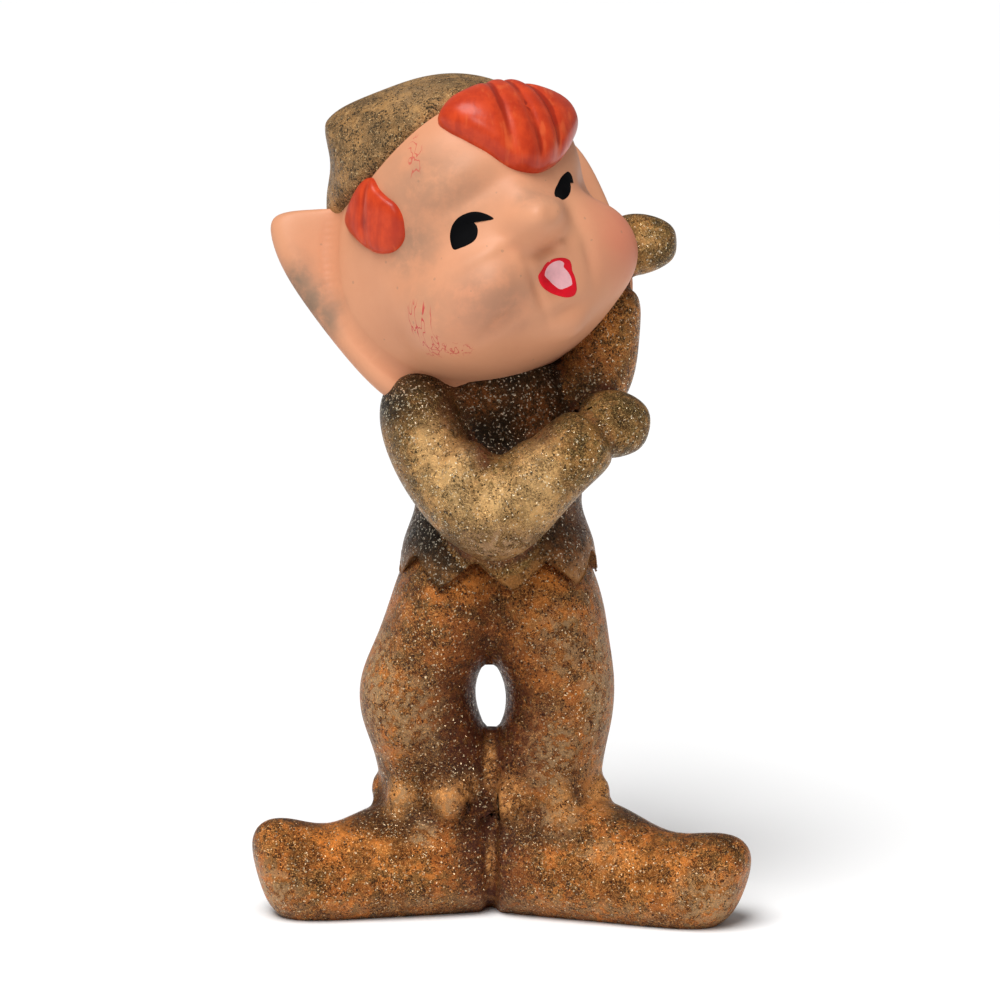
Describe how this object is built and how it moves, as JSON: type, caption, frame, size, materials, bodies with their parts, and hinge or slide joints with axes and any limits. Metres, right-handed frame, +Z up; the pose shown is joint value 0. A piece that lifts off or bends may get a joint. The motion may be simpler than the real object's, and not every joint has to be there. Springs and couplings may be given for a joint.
{
  "type": "ceramic elf figurine",
  "caption": "Standing ceramic elf with an open mouth, long pointed ears, a cap, crossed arms, a jacket with a pointed hem, joined trouser legs and long turned-up shoes.",
  "frame": {"origin": "on the floor plane, on the left shoe's flat sole, in front of the crease where the two shoes meet", "axes": "+Z up, -Y the way the figure's chest faces, +X towards the figure's own left"},
  "size_m": [0.0656, 0.0412, 0.1129],
  "materials": {
    "skin_paint": "satin cold paint on fired clay, peach, rubbed grey on the high places",
    "hair_glaze": "gloss orange-red paint with darker strokes",
    "olive_glitter": "olive paint under fine gold and dark glitter",
    "gold_lustre": "worn gold lustre with bright glitter",
    "black_glitter": "black-brown paint under coarse black and silver glitter",
    "copper_lustre": "copper lustre with black specks and pale worn patches"
  },
  "bodies": {
    "root": {"head": "skin_paint", "right_ear": "skin_paint", "left_ear": "skin_paint", "cap": "olive_glitter", "forelock": "hair_glaze", "right_side_lock": "hair_glaze", "left_side_lock": "hair_glaze", "jacket": "black_glitter", "right_sleeve": "gold_lustre", "right_hand": "gold_lustre", "left_sleeve": "copper_lustre", "left_hand": "gold_lustre", "trousers": "copper_lustre", "right_shoe": "copper_lustre", "left_shoe": "copper_lustre"}
  },
  "joints": []
}
